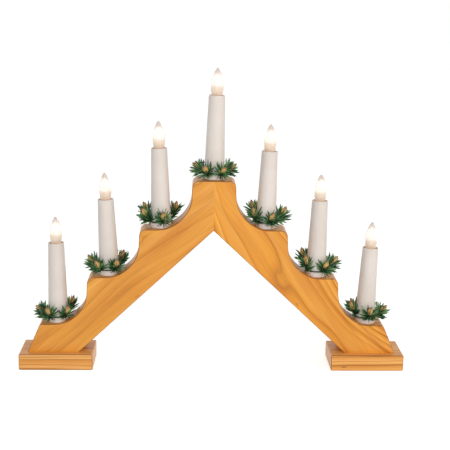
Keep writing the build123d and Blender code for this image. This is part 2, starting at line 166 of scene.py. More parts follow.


# Lacquered pine: flat-sawn boards with wide soft rings that end in a thin dark line, under a
# satin amber lacquer that mirrors the pale room on level faces, with painted shade on the rounded
# edges
def lacquered_pine(
    name, tones, heart, grain, bend, sway, ring, least, most, resin, half_depth, seed
):
    """Rings round a heart line inside the board, along the grain and gently bent."""
    material, tree, output = new_material(name)
    place = node(tree, "ShaderNodeTexCoord").outputs["Object"]
    turned = node(
        tree,
        "ShaderNodeMapping",
        {"Vector": place, "Location": heart, "Rotation": Euler((0, -math.radians(grain), 0))},
        vector_type="TEXTURE",
    ).outputs[0]
    # Growth wanders by a few millimetres over a hand's width
    long_way = node(
        tree, "ShaderNodeVectorMath", {0: turned, 1: (0.35, 1, 1)}, operation="MULTIPLY"
    ).outputs[0]
    wander = node(
        tree,
        "ShaderNodeTexNoise",
        {"Vector": long_way, "W": seed, "Scale": 1 / WANDER_SIZE, "Detail": 1.0},
        noise_dimensions="4D",
    )
    centred = node(
        tree,
        "ShaderNodeVectorMath",
        {0: wander.outputs["Color"], 1: (0.5, 0.5, 0.5)},
        operation="SUBTRACT",
    )
    pushed = node(
        tree,
        "ShaderNodeVectorMath",
        {0: centred.outputs[0], 1: (0, sway / 2, sway), 2: turned},
        operation="MULTIPLY_ADD",
    )
    parts = node(tree, "ShaderNodeSeparateXYZ", {0: pushed.outputs[0]}).outputs
    along_squared = node(
        tree, "ShaderNodeMath", {0: parts["X"], 1: parts["X"]}, operation="MULTIPLY"
    )
    bowed = node(
        tree,
        "ShaderNodeMath",
        {0: along_squared.outputs[0], 1: bend, 2: parts["Z"]},
        operation="MULTIPLY_ADD",
    )
    across = node(tree, "ShaderNodeCombineXYZ", {"Y": parts["Y"], "Z": bowed.outputs[0]})
    radius = node(
        tree, "ShaderNodeVectorMath", {0: across.outputs[0]}, operation="LENGTH"
    ).outputs["Value"]
    # Good years and poor years: the rings are not evenly wide
    evenly = node(tree, "ShaderNodeMath", {0: radius, 1: ring}, operation="DIVIDE").outputs[0]
    seasons = node(tree, "ShaderNodeTexNoise", {"W": evenly, "Scale": 0.6}, noise_dimensions="1D")
    count = node(
        tree,
        "ShaderNodeMath",
        {0: seasons.outputs[0], 1: 1.4, 2: evenly},
        operation="MULTIPLY_ADD",
    ).outputs[0]
    growth = node(tree, "ShaderNodeMath", {0: count}, operation="FRACT")
    year = node(tree, "ShaderNodeMath", {0: count}, operation="FLOOR")
    of_year = node(tree, "ShaderNodeTexWhiteNoise", {"W": year.outputs[0]}, noise_dimensions="1D")
    wood = node(
        tree,
        "ShaderNodeValToRGB",
        {"Fac": growth.outputs[0]},
        stops=tuple(zip((0.0, 0.05, 0.20, 0.50, 0.80, 0.93, 1.0), tones)),
    )
    # Some years are less marked than others, and each fades in and out along the board
    fade = node(
        tree,
        "ShaderNodeTexNoise",
        {"Vector": long_way, "W": seed + 7.0, "Scale": 1 / FADE_SIZE, "Detail": 1.0},
        noise_dimensions="4D",
    )
    faded = node(
        tree,
        "ShaderNodeMapRange",
        {"Value": fade.outputs[0], "From Min": 0.35, "From Max": 0.6, "To Min": max(least, 0.0)},
    )
    marked = node(
        tree,
        "ShaderNodeMapRange",
        {"Value": of_year.outputs["Value"], "To Min": least, "To Max": most},
    )
    shown = node(
        tree, "ShaderNodeMath", {0: faded.outputs[0], 1: marked.outputs[0]}, operation="MULTIPLY"
    )
    rings = node(
        tree,
        "ShaderNodeMix",
        {"Factor": shown.outputs[0], 6: linear(tones[3]), 7: wood.outputs["Color"]},
        data_type="RGBA",
    )
    # Long bands where the board took more or less of the lacquer's colour
    band_way = node(
        tree, "ShaderNodeVectorMath", {0: pushed.outputs[0], 1: (0.1, 1, 1)}, operation="MULTIPLY"
    )
    bands = node(
        tree,
        "ShaderNodeTexNoise",
        {"Vector": band_way.outputs[0], "W": seed + 3.0, "Scale": 1 / BAND_SIZE, "Detail": 2.5},
        noise_dimensions="4D",
    )
    band_tone = node(
        tree,
        "ShaderNodeValToRGB",
        {"Fac": bands.outputs[0]},
        stops=((0.32, "#DBC09C"), (0.5, "#EEE2D3"), (0.68, "#FCF8F3")),
    )
    banded = node(
        tree,
        "ShaderNodeMix",
        {"Factor": 0.7, 6: rings.outputs[2], 7: band_tone.outputs["Color"]},
        data_type="RGBA",
        blend_type="MULTIPLY",
    )
    # Fibres: streaks half a millimetre wide and several centimetres long
    fibre_way = node(
        tree, "ShaderNodeVectorMath", {0: pushed.outputs[0], 1: (0.02, 1, 1)}, operation="MULTIPLY"
    )
    fibres = node(
        tree,
        "ShaderNodeTexNoise",
        {"Vector": fibre_way.outputs[0], "Scale": 1 / FIBRE_SIZE, "Detail": 3.0, "Roughness": 0.6},
    )
    fibre_shade = node(
        tree,
        "ShaderNodeMapRange",
        {
            "Value": fibres.outputs[0],
            "From Min": 0.3,
            "From Max": 0.7,
            "To Min": 0.92,
            "To Max": 1.08,
        },
    )
    streaked = node(
        tree,
        "ShaderNodeVectorMath",
        {0: banded.outputs[2], "Scale": fibre_shade.outputs[0]},
        operation="SCALE",
    )
    # Resin canals: a few short brown flecks along the grain
    fleck_way = node(
        tree, "ShaderNodeVectorMath", {0: turned, 1: (0.22, 1, 1)}, operation="MULTIPLY"
    )
    flecks = node(
        tree, "ShaderNodeTexVoronoi", {"Vector": fleck_way.outputs[0], "Scale": 1 / FLECK_SPACING}
    )
    fleck_size = node(
        tree,
        "ShaderNodeMapRange",
        {
            "Value": flecks.outputs["Distance"],
            "From Min": 0.035,
            "From Max": 0.06,
            "To Min": resin,
            "To Max": 0.0,
        },
    )
    flecked = node(
        tree,
        "ShaderNodeMix",
        {"Factor": fleck_size.outputs[0], 6: streaked.outputs[0], 7: linear("#7E4A1A")},
        data_type="RGBA",
    )
    # Painted shade: a darker line along the rounded edges of the faces, where they turn away from
    # the light
    facing = node(tree, "ShaderNodeNewGeometry").outputs["Normal"]
    to_front = node(tree, "ShaderNodeSeparateXYZ", {0: facing}).outputs["Y"]
    turned_off = node(tree, "ShaderNodeMath", {0: to_front}, operation="ABSOLUTE")
    off_face = node(
        tree,
        "ShaderNodeMapRange",
        {"Value": turned_off.outputs[0], "From Min": 0.97, "From Max": 0.75, "To Max": 0.8},
    )
    depth = node(tree, "ShaderNodeSeparateXYZ", {0: place}).outputs["Y"]
    depth_away = node(tree, "ShaderNodeMath", {0: depth}, operation="ABSOLUTE")
    on_edge = node(
        tree,
        "ShaderNodeMapRange",
        {
            "Value": depth_away.outputs[0],
            "From Min": half_depth - EDGE_SHADE_START,
            "From Max": half_depth - EDGE_SHADE_FULL,
        },
    )
    painted_edge_shade = node(
        tree,
        "ShaderNodeMath",
        {0: off_face.outputs[0], 1: on_edge.outputs[0]},
        operation="MULTIPLY",
    )
    # The rounded edges are mixed towards dark brown as painted shade
    edge_shaded = node(
        tree,
        "ShaderNodeMix",
        {"Factor": painted_edge_shade.outputs[0], 6: flecked.outputs[2], 7: linear("#85470F")},
        data_type="RGBA",
    )
    relief = node(
        tree,
        "ShaderNodeBump",
        {"Height": fibres.outputs[0], "Strength": 0.12, "Distance": 0.1 * MM},
    )
    gloss = node(
        tree, "ShaderNodeMapRange", {"Value": fibres.outputs[0], "To Min": 0.30, "To Max": 0.40}
    )
    lacquer = node(
        tree,
        "ShaderNodeBsdfPrincipled",
        {
            "Base Color": edge_shaded.outputs[2],
            "Roughness": gloss.outputs[0],
            "IOR": 1.45,
            "Normal": relief.outputs[0],
        },
    )
    tree.links.new(lacquer.outputs[0], output.inputs["Surface"])
    return material


amber = ("#A56008", "#DD9427", "#F1B354", "#E8A13A", "#E1951E", "#C87705", "#955002")
honey = ("#B4721F", "#DC9A38", "#EEB158", "#E5A03C", "#DE9833", "#D08A26", "#AE6A1B")
straw = ("#A0641E", "#E0A24A", "#F6C47E", "#EFB160", "#E7A44A", "#C88A34", "#9A5F1C")
left_pine = lacquered_pine(
    "lacquered_pine_left_arm",
    tones=honey,
    heart=(-104 * MM, 20 * MM, 120 * MM),
    grain=38,
    bend=0.8,
    sway=18 * MM,
    ring=6.5 * MM,
    least=-0.7,
    most=1.0,
    resin=0.3,
    half_depth=ARM_HALF_DEPTH,
    seed=4.0,
)
right_pine = lacquered_pine(
    "lacquered_pine_right_arm",
    tones=amber,
    heart=(70 * MM, 30 * MM, 90 * MM),
    grain=-55,
    bend=-1.4,
    sway=20 * MM,
    ring=4.2 * MM,
    least=0.55,
    most=1.0,
    resin=0.85,
    half_depth=ARM_HALF_DEPTH,
    seed=12.0,
)
foot_pine = lacquered_pine(
    "lacquered_pine_feet",
    tones=straw,
    heart=(0, 30 * MM, -12 * MM),
    grain=0.6,
    bend=0.0,
    sway=5 * MM,
    ring=2.0 * MM,
    least=0.9,
    most=1.0,
    resin=0.75,
    half_depth=FOOT_HALF_DEPTH,
    seed=9.0,
)
give(left_pine, "left_arm")
give(right_pine, "right_arm")
give(foot_pine, "left_foot", "right_foot")


# Plain strips and pegs: unlacquered wood seen only from below or when the arch is apart
def plain_wood(name, grain, pale, dark):
    """Straight, fine-grained wood with no finish, dull all over."""
    material, tree, output = new_material(name)
    place = node(tree, "ShaderNodeTexCoord").outputs["Object"]
    turned = node(
        tree,
        "ShaderNodeMapping",
        {"Vector": place, "Rotation": Euler((0, -math.radians(grain), 0)), "Scale": (40, 1, 1)},
        vector_type="TEXTURE",
    )
    fibres = node(
        tree,
        "ShaderNodeTexNoise",
        {"Vector": turned.outputs[0], "Scale": 1 / STRIP_FIBRE_SIZE, "Detail": 4.0},
    )
    colour = node(
        tree, "ShaderNodeValToRGB", {"Fac": fibres.outputs[0]}, stops=((0.3, dark), (0.7, pale))
    )
    relief = node(
        tree, "ShaderNodeBump", {"Height": fibres.outputs[0], "Strength": 0.3, "Distance": 0.1 * MM}
    )
    wood = node(
        tree,
        "ShaderNodeBsdfPrincipled",
        {
            "Base Color": colour.outputs[0],
            "Roughness": 0.7,
            "IOR": 1.5,
            "Normal": relief.outputs[0],
        },
    )
    tree.links.new(wood.outputs[0], output.inputs["Surface"])
    return material


give(plain_wood("stained_strip_left", COVER_SLOPE, "#C98F4E", "#A97238"), "left_groove_cover")
give(plain_wood("stained_strip_right", -COVER_SLOPE, "#C98F4E", "#A97238"), "right_groove_cover")
give(plain_wood("beech_peg", 0, "#D9B287", "#C2976A"), "mitre_dowels")


# Bare metals: zinc-plated steel with a faint blotch, and brass that is a little duller in places
def bare_metal(name, pale, dark, roughness):
    """Clouded metal: the cloud shifts the tone and the gloss a little."""
    material, tree, output = new_material(name)
    place = node(tree, "ShaderNodeTexCoord").outputs["Object"]
    cloud = node(
        tree, "ShaderNodeTexNoise", {"Vector": place, "Scale": 1 / METAL_CLOUD_SIZE, "Detail": 3.0}
    )
    colour = node(
        tree, "ShaderNodeValToRGB", {"Fac": cloud.outputs[0]}, stops=((0.35, dark), (0.65, pale))
    )
    gloss = node(
        tree,
        "ShaderNodeMapRange",
        {"Value": cloud.outputs[0], "To Min": roughness - 0.08, "To Max": roughness + 0.08},
    )
    metal = node(
        tree,
        "ShaderNodeBsdfPrincipled",
        {"Base Color": colour.outputs[0], "Metallic": 1.0, "Roughness": gloss.outputs[0]},
    )
    tree.links.new(metal.outputs[0], output.inputs["Surface"])
    return material


give(bare_metal("zinc_plated_steel", "#D2D3D0", "#B4B6B5", 0.32), "foot_screws")
give(bare_metal("pin_brass", "#D8BB74", "#B99753", 0.35), "cover_pins")
lamp_brass = bare_metal("lamp_cap_brass", "#E0BE78", "#C29E5A", 0.28)


# Moulded plastics: fine orange-peel skin, tone barely uneven, light sinking slightly below it
def moulded_plastic(name, pale, dark, roughness, depth):
    """Smooth moulding whose tone drifts a little over its length."""
    material, tree, output = new_material(name)
    place = node(tree, "ShaderNodeTexCoord").outputs["Object"]
    drift = node(
        tree,
        "ShaderNodeTexNoise",
        {"Vector": place, "Scale": 1 / PLASTIC_DRIFT_SIZE, "Detail": 2.0},
    )
    colour = node(
        tree, "ShaderNodeValToRGB", {"Fac": drift.outputs[0]}, stops=((0.35, dark), (0.65, pale))
    )
    peel = node(
        tree, "ShaderNodeTexNoise", {"Vector": place, "Scale": 1 / PLASTIC_PEEL_SIZE, "Detail": 2.0}
    )
    relief = node(
        tree, "ShaderNodeBump", {"Height": peel.outputs[0], "Strength": 0.08, "Distance": 0.05 * MM}
    )
    gloss = node(
        tree,
        "ShaderNodeMapRange",
        {"Value": peel.outputs[0], "To Min": roughness - 0.04, "To Max": roughness + 0.04},
    )
    plastic = node(
        tree,
        "ShaderNodeBsdfPrincipled",
        {
            "Base Color": colour.outputs[0],
            "Roughness": gloss.outputs[0],
            "IOR": 1.46,
            "Subsurface Weight": 0.25,
            "Subsurface Radius": (1.0, 0.8, 0.6),
            "Subsurface Scale": depth,
            "Normal": relief.outputs[0],
        },
    )
    tree.links.new(plastic.outputs[0], output.inputs["Surface"])
    return material


sleeve_plastic = moulded_plastic("ivory_polypropylene_sleeve", "#DFD8D2", "#D9D1CA", 0.42, 0.8 * MM)
collar_plastic = moulded_plastic("white_polypropylene_collar", "#DDD3CE", "#D3C8C2", 0.35, 0.6 * MM)
socket_plastic = moulded_plastic("cream_urea_socket", "#D8CDB8", "#CDBFA8", 0.45, 0.3 * MM)
give(moulded_plastic("pale_wire_insulation", "#DAD6CA", "#CFC9BA", 0.5, 0.2 * MM), "series_wiring")


# Lamp glass: thin clear glass, lit from inside; the filament's light fills the belly with a warm
# white, the neck shows the tan of its mount, and painted shade greys the wall a little where it is
# seen edge on
def lamp_glass(order):
    """Glass of one lamp, its glow placed by the height above its own sleeve."""
    material, tree, output = new_material(f"lit_lamp_glass_{order + 1}")
    upright = candle_place(order)
    place = node(tree, "ShaderNodeTexCoord").outputs["Object"]
    stood = node(
        tree,
        "ShaderNodeMapping",
        {
            "Vector": place,
            "Location": upright @ Vector((0, 0, RIM_HEIGHT + CANDLE_TRIMS[order] * MM)),
            "Rotation": upright.to_euler(),
            "Scale": (1.0, 1.0, LAMP_SHOW),
        },
        vector_type="TEXTURE",
    )
    height = node(tree, "ShaderNodeSeparateXYZ", {0: stood.outputs[0]}).outputs["Z"]
    tint = node(
        tree,
        "ShaderNodeValToRGB",
        {"Fac": height},
        stops=(
            (0.0, "#E8CDB2"),
            (0.12, "#ECDBC8"),
            (0.29, "#EEE1D2"),
            (0.36, "#F4EFE8"),
            (0.60, "#F8F5EF"),
            (0.75, "#F3EDE7"),
            (0.85, "#E8DCD4"),
            (1.0, "#DED3CB"),
        ),
    )
    glow = node(
        tree,
        "ShaderNodeValToRGB",
        {"Fac": height},
        stops=((0.0, 0.07), (0.29, 0.10), (0.36, 0.15), (0.56, 0.17), (0.73, 0.14), (0.82, 0.07)),
    )
    warm = node(
        tree,
        "ShaderNodeMix",
        {"Factor": 1.0, 6: glow.outputs[0], 7: linear("#FFFDFA")},
        data_type="RGBA",
        blend_type="MULTIPLY",
    )
    # Painted shade: the wall is mixed towards grey where it is seen edge on
    edge = node(tree, "ShaderNodeLayerWeight", {"Blend": 0.35}).outputs["Facing"]
    painted_edge_shade = node(
        tree,
        "ShaderNodeMapRange",
        {"Value": edge, "From Min": 0.45, "From Max": 1.0, "To Max": 0.5},
    )
    walled = node(
        tree,
        "ShaderNodeMix",
        {"Factor": painted_edge_shade.outputs[0], 6: tint.outputs[0], 7: linear("#D2C3B8")},
        data_type="RGBA",
    )
    glass = node(
        tree,
        "ShaderNodeBsdfPrincipled",
        {
            "Base Color": walled.outputs[2],
            "Roughness": 0.08,
            "IOR": 1.45,
            "Transmission Weight": 0.6,
            "Emission Color": warm.outputs[2],
            "Emission Strength": 1.0,
        },
    )
    tree.links.new(glass.outputs[0], output.inputs["Surface"])
    return material


# Wreath wire: thin iron wire in dark green lacquer, with a dull sheen and the twist of its winding
def lacquered_wire():
    """Near-black green lacquer over thin wire."""
    material, tree, output = new_material("green_lacquered_wire")
    place = node(tree, "ShaderNodeTexCoord").outputs["Object"]
    winding = node(
        tree, "ShaderNodeTexNoise", {"Vector": place, "Scale": 1 / WIRE_WINDING_SIZE, "Detail": 2.0}
    )
    colour = node(
        tree,
        "ShaderNodeValToRGB",
        {"Fac": winding.outputs[0]},
        stops=((0.3, "#0E150F"), (0.7, "#23331F")),
    )
    relief = node(
        tree,
        "ShaderNodeBump",
        {"Height": winding.outputs[0], "Strength": 0.3, "Distance": 0.1 * MM},
    )
    wire = node(
        tree,
        "ShaderNodeBsdfPrincipled",
        {
            "Base Color": colour.outputs[0],
            "Roughness": 0.45,
            "IOR": 1.5,
            "Normal": relief.outputs[0],
        },
    )
    tree.links.new(wire.outputs[0], output.inputs["Surface"])
    return material


# Fir needles: cut polyethylene blades, each its own green, with painted shade towards the root and
# paler towards the tip as painted light
def fir_needle():
    """Green film, with a tone for each blade, painted shade at the root and painted light at the
    tip.
    """
    material, tree, output = new_material("green_polyethylene_needle")
    tone = node(tree, "ShaderNodeAttribute", attribute_name="blade_tone").outputs["Fac"]
    reach = node(tree, "ShaderNodeAttribute", attribute_name="blade_reach").outputs["Fac"]
    greens = node(
        tree,
        "ShaderNodeValToRGB",
        {"Fac": tone},
        stops=(
            (0.0, "#11331F"),
            (0.35, "#235431"),
            (0.6, "#386E41"),
            (0.8, "#54884E"),
            (1.0, "#8FB57C"),
        ),
    )
    # Painted shade and light: each blade is darker at its root, deep in the sprig, and lighter at
    # its tip
    painted_shade_and_tip_light = node(
        tree, "ShaderNodeMapRange", {"Value": reach, "To Min": 0.38, "To Max": 1.35}
    )
    coloured = node(
        tree,
        "ShaderNodeVectorMath",
        {0: greens.outputs[0], "Scale": painted_shade_and_tip_light.outputs[0]},
        operation="SCALE",
    )
    needle = node(
        tree,
        "ShaderNodeBsdfPrincipled",
        {"Base Color": coloured.outputs[0], "Roughness": 0.40, "IOR": 1.5},
    )
    tree.links.new(needle.outputs[0], output.inputs["Surface"])
    return material


# Fir buds: pointed tan buds with papery scales, browner at the tip and where they leave the twig
def fir_bud():
    """Tan scales, darker at both ends, with painted shade in the lines between scales."""
    material, tree, output = new_material("tan_fir_bud")
    place = node(tree, "ShaderNodeTexCoord").outputs["Object"]
    reach = node(tree, "ShaderNodeAttribute", attribute_name="blade_reach").outputs["Fac"]
    tan = node(
        tree,
        "ShaderNodeValToRGB",
        {"Fac": reach},
        stops=(
            (0.0, "#6E5A2C"),
            (0.18, "#C09552"),
            (0.45, "#DDB070"),
            (0.70, "#D0A260"),
            (0.88, "#95693A"),
            (1.0, "#5E4426"),
        ),
    )
    scales = node(
        tree,
        "ShaderNodeTexVoronoi",
        {"Vector": place, "Scale": 1 / BUD_SCALE_SIZE},
        feature="DISTANCE_TO_EDGE",
    )
    # Painted shade in the creases between the scales, which also give the bump its height
    crease_relief_and_shade = node(
        tree,
        "ShaderNodeMapRange",
        {"Value": scales.outputs["Distance"], "From Max": 0.12, "To Min": 0.72, "To Max": 1.0},
    )
    coloured = node(
        tree,
        "ShaderNodeVectorMath",
        {0: tan.outputs[0], "Scale": crease_relief_and_shade.outputs[0]},
        operation="SCALE",
    )
    relief = node(
        tree,
        "ShaderNodeBump",
        {"Height": crease_relief_and_shade.outputs[0], "Strength": 0.5, "Distance": 0.2 * MM},
    )
    bud = node(
        tree,
        "ShaderNodeBsdfPrincipled",
        {
            "Base Color": coloured.outputs[0],
            "Roughness": 0.5,
            "IOR": 1.5,
            "Normal": relief.outputs[0],
        },
    )
    tree.links.new(bud.outputs[0], output.inputs["Surface"])
    return material


# Twigs: brown-green bark of the short stems the needles grow on
def twig_bark():
    """Dark bark with a rough skin."""
    material, tree, output = new_material("fir_twig_bark")
    place = node(tree, "ShaderNodeTexCoord").outputs["Object"]
    bark = node(
        tree, "ShaderNodeTexNoise", {"Vector": place, "Scale": 1 / BARK_SIZE, "Detail": 3.0}
    )
    colour = node(
        tree,
        "ShaderNodeValToRGB",
        {"Fac": bark.outputs[0]},
        stops=((0.3, "#1F2A16"), (0.7, "#43482A")),
    )
    relief = node(
        tree, "ShaderNodeBump", {"Height": bark.outputs[0], "Strength": 0.5, "Distance": 0.2 * MM}
    )
    stem = node(
        tree,
        "ShaderNodeBsdfPrincipled",
        {"Base Color": colour.outputs[0], "Roughness": 0.7, "Normal": relief.outputs[0]},
    )
    tree.links.new(stem.outputs[0], output.inputs["Surface"])
    return material


wire_finish = lacquered_wire()
needle_finish = fir_needle()
bud_finish = fir_bud()
bark_finish = twig_bark()
for order in range(len(CANDLE_LEANS)):
    give(collar_plastic, f"collar_{order + 1}")
    give(sleeve_plastic, f"sleeve_{order + 1}")
    give(socket_plastic, f"socket_{order + 1}")
    give(lamp_glass(order), f"bulb_glass_{order + 1}")
    give(lamp_brass, f"bulb_cap_{order + 1}")
    give(wire_finish, f"wreath_ring_{order + 1}")


def swelling(tree, along, root, tip, *between):
    """The width of a blade or bud along its length, from root to tip."""
    made = node(tree, "ShaderNodeFloatCurve", {"Value": along})
    line = made.mapping.curves[0]
    line.points[0].location = (0.0, root)
    line.points[1].location = (1.0, tip)
    for place, width in between:
        line.points.new(place, width)
    made.mapping.update()
    return made.outputs[0]


# Sprigs grown by Geometry Nodes along the twigs of one wreath
def sprig_tree():
    """Blades fan out round each twig by the golden angle, steeper towards its bud."""
    tree = bpy.data.node_groups.new("fir_sprigs", "GeometryNodeTree")
    face = tree.interface
    face.new_socket("Geometry", in_out="INPUT", socket_type="NodeSocketGeometry")
    for name, kind, value in (
        ("Needles per Sprig", "NodeSocketInt", NEEDLES_PER_SPRIG),
        ("Needle Length", "NodeSocketFloat", NEEDLE_LENGTH),
        ("Needle Width", "NodeSocketFloat", NEEDLE_WIDTH),
        ("Root Tilt", "NodeSocketFloat", ROOT_TILT),
        ("Tip Tilt", "NodeSocketFloat", TIP_TILT),
        ("Bud Length", "NodeSocketFloat", BUD_LENGTH),
        ("Bud Radius", "NodeSocketFloat", BUD_RADIUS),
        ("Twig Radius", "NodeSocketFloat", TWIG_RADIUS),
        ("Half Depth", "NodeSocketFloat", TRIM_DEPTH),
        ("Shelf Height", "NodeSocketFloat", TOP_SHELF),
        ("Seed", "NodeSocketInt", 1),
        ("Keep Clear Of", "NodeSocketCollection", None),
    ):
        socket = face.new_socket(name, in_out="INPUT", socket_type=kind)
        if value is not None:
            socket.default_value = value
    face.new_socket("Geometry", in_out="OUTPUT", socket_type="NodeSocketGeometry")
    given = node(tree, "NodeGroupInput").outputs
    twigs = node(tree, "GeometryNodeMeshToCurve", {"Mesh": given["Geometry"]}).outputs[0]
    roots = node(
        tree,
        "GeometryNodeCurveToPoints",
        {"Curve": twigs, "Count": given["Needles per Sprig"]},
        mode="COUNT",
    )
    index = node(tree, "GeometryNodeInputIndex").outputs[0]
    order = node(
        tree,
        "ShaderNodeMath",
        {0: index, 1: given["Needles per Sprig"]},
        operation="FLOORED_MODULO",
    )
    last = node(
        tree, "ShaderNodeMath", {0: given["Needles per Sprig"], 1: 1.0}, operation="SUBTRACT"
    )
    share = node(
        tree, "ShaderNodeMath", {0: order.outputs[0], 1: last.outputs[0]}, operation="DIVIDE"
    )

    # Which way each blade points
    jitter = node(
        tree,
        "FunctionNodeRandomValue",
        {2: -SCATTER, 3: SCATTER, "ID": index, "Seed": given["Seed"]},
        data_type="FLOAT",
    )
    fan = node(
        tree,
        "ShaderNodeMapRange",
        {"Value": share.outputs[0], "To Min": given["Root Tilt"], "To Max": given["Tip Tilt"]},
    )
    tilt = node(tree, "ShaderNodeMath", {0: fan.outputs[0], 1: jitter.outputs[1]}, operation="ADD")
    golden = node(tree, "ShaderNodeMath", {0: index, 1: GOLDEN_ANGLE}, operation="MULTIPLY")
    turn = node(
        tree, "ShaderNodeMath", {0: golden.outputs[0], 1: jitter.outputs[1]}, operation="ADD"
    )
    round_twig = node(
        tree, "FunctionNodeAxisAngleToRotation", {"Axis": (0, 0, 1), "Angle": turn.outputs[0]}
    )
    lean_out = node(
        tree, "FunctionNodeAxisAngleToRotation", {"Axis": (0, 1, 0), "Angle": tilt.outputs[0]}
    )
    spun = node(
        tree,
        "FunctionNodeRotateRotation",
        {"Rotation": roots.outputs["Rotation"], "Rotate By": round_twig.outputs[0]},
        rotation_space="LOCAL",
    )
    facing = node(
        tree,
        "FunctionNodeRotateRotation",
        {"Rotation": spun.outputs[0], "Rotate By": lean_out.outputs[0]},
        rotation_space="LOCAL",
    )
    heading = node(
        tree, "FunctionNodeRotateVector", {"Vector": (0, 0, 1), "Rotation": facing.outputs[0]}
    )

    # Blades that would run into the wood, the sleeve or the collar are left out
    solids = node(
        tree,
        "GeometryNodeCollectionInfo",
        {"Collection": given["Keep Clear Of"]},
        transform_space="RELATIVE",
    )
    solid = node(tree, "GeometryNodeRealizeInstances", {"Geometry": solids.outputs[0]})
    reach = node(
        tree, "ShaderNodeMath", {0: given["Needle Length"], 1: CLEARANCE}, operation="ADD"
    )
    blocked = node(
        tree,
        "GeometryNodeRaycast",
        {
            "Target Geometry": solid.outputs[0],
            "Ray Direction": heading.outputs[0],
            "Ray Length": reach.outputs[0],
        },
    )

    # One blade: narrow at both ends, with a little bow
    spine = node(tree, "GeometryNodeCurvePrimitiveLine", {"End": (0, 0, 1.0)})
    spine_points = node(tree, "GeometryNodeResampleCurve", {"Curve": spine.outputs[0], "Count": 6})
    along = node(tree, "GeometryNodeSplineParameter").outputs["Factor"]
    marked = node(
        tree,
        "GeometryNodeStoreNamedAttribute",
        {"Geometry": spine_points.outputs[0], "Name": "blade_reach", "Value": along},
        data_type="FLOAT",
        domain="POINT",
    )
    bow = node(tree, "ShaderNodeMath", {0: along, 1: along}, operation="MULTIPLY")
    bow_depth = node(
        tree, "ShaderNodeMath", {0: bow.outputs[0], 1: -NEEDLE_BOW}, operation="MULTIPLY"
    )
    bow_way = node(tree, "ShaderNodeCombineXYZ", {"X": bow_depth.outputs[0]})
    bowed = node(
        tree,
        "GeometryNodeSetPosition",
        {"Geometry": marked.outputs[0], "Offset": bow_way.outputs[0]},
    )
    swell = swelling(tree, along, 0.45, 0.30, (0.35, 0.95), (0.80, 0.90))
    half_width = node(
        tree, "ShaderNodeMath", {0: given["Needle Width"], 1: 0.5}, operation="MULTIPLY"
    )
    blade_radius = node(
        tree,
        "ShaderNodeMath",
        {0: swell, 1: half_width.outputs[0]},
        operation="MULTIPLY",
    )
    section = node(tree, "GeometryNodeCurvePrimitiveCircle", {"Resolution": 4, "Radius": 1.0})
    flat_section = node(
        tree, "GeometryNodeTransform", {"Geometry": section.outputs[0], "Scale": (0.5, 1.0, 1.0)}
    )
    grown = node(
        tree,
        "GeometryNodeCurveToMesh",
        {
            "Curve": bowed.outputs[0],
            "Profile Curve": flat_section.outputs[0],
            "Scale": blade_radius.outputs[0],
            "Fill Caps": True,
        },
    )
    lengths = node(
        tree,
        "FunctionNodeRandomValue",
        {2: LEAST_LENGTH, 3: 1.0, "ID": index, "Seed": given["Seed"]},
        data_type="FLOAT",
    )
    # Blades near the root are the shortest
    grown_out = node(
        tree,
        "ShaderNodeMapRange",
        {"Value": share.outputs[0], "From Max": FULL_FROM, "To Min": ROOT_LENGTH},
    )
    tapered = node(
        tree,
        "ShaderNodeMath",
        {0: lengths.outputs[1], 1: grown_out.outputs[0]},
        operation="MULTIPLY",
    )
    full = node(
        tree,
        "ShaderNodeMath",
        {0: tapered.outputs[0], 1: given["Needle Length"]},
        operation="MULTIPLY",
    )
    # Blades are trimmed to the depth of the feet and to the height of the shelf, stubs left out
    rooted = node(tree, "GeometryNodeInputPosition").outputs[0]
    root = node(tree, "ShaderNodeSeparateXYZ", {0: rooted})
    way = node(tree, "ShaderNodeSeparateXYZ", {0: heading.outputs[0]})
    root_away = node(tree, "ShaderNodeMath", {0: root.outputs["Y"]}, operation="ABSOLUTE")
    room = node(
        tree,
        "ShaderNodeMath",
        {0: given["Half Depth"], 1: root_away.outputs[0]},
        operation="SUBTRACT",
    )
    way_away = node(tree, "ShaderNodeMath", {0: way.outputs["Y"]}, operation="ABSOLUTE")
    most = node(
        tree, "ShaderNodeMath", {0: room.outputs[0], 1: way_away.outputs[0]}, operation="DIVIDE"
    )
    above = node(
        tree,
        "ShaderNodeMath",
        {0: given["Shelf Height"], 1: root.outputs["Z"]},
        operation="SUBTRACT",
    )
    fall = node(tree, "ShaderNodeMath", {0: way.outputs["Z"], 1: LEAST_FALL}, operation="MINIMUM")
    lowest = node(
        tree, "ShaderNodeMath", {0: above.outputs[0], 1: fall.outputs[0]}, operation="DIVIDE"
    )
    shorter = node(
        tree, "ShaderNodeMath", {0: full.outputs[0], 1: most.outputs[0]}, operation="MINIMUM"
    )
    trimmed = node(
        tree, "ShaderNodeMath", {0: shorter.outputs[0], 1: lowest.outputs[0]}, operation="MINIMUM"
    )
    stub = node(
        tree, "FunctionNodeCompare", {0: trimmed.outputs[0], 1: STUB_LENGTH}, operation="LESS_THAN"
    )
    free = node(
        tree,
        "FunctionNodeBooleanMath",
        {0: blocked.outputs["Is Hit"], 1: stub.outputs[0]},
        operation="NOR",
    )
    stretch = node(tree, "ShaderNodeCombineXYZ", {"X": 1.0, "Y": 1.0, "Z": trimmed.outputs[0]})
    blades = node(
        tree,
        "GeometryNodeInstanceOnPoints",
        {
            "Points": roots.outputs["Points"],
            "Selection": free.outputs[0],
            "Instance": grown.outputs[0],
            "Rotation": facing.outputs[0],
            "Scale": stretch.outputs[0],
        },
    )
    tones = node(
        tree,
        "FunctionNodeRandomValue",
        {"Seed": given["Seed"]},
        data_type="FLOAT",
    )
    toned = node(
        tree,
        "GeometryNodeStoreNamedAttribute",
        {"Geometry": blades.outputs[0], "Name": "blade_tone", "Value": tones.outputs[1]},
        data_type="FLOAT",
        domain="INSTANCE",
    )
    needles = node(
        tree, "GeometryNodeSetMaterial", {"Geometry": toned.outputs[0], "Material": needle_finish}
    )

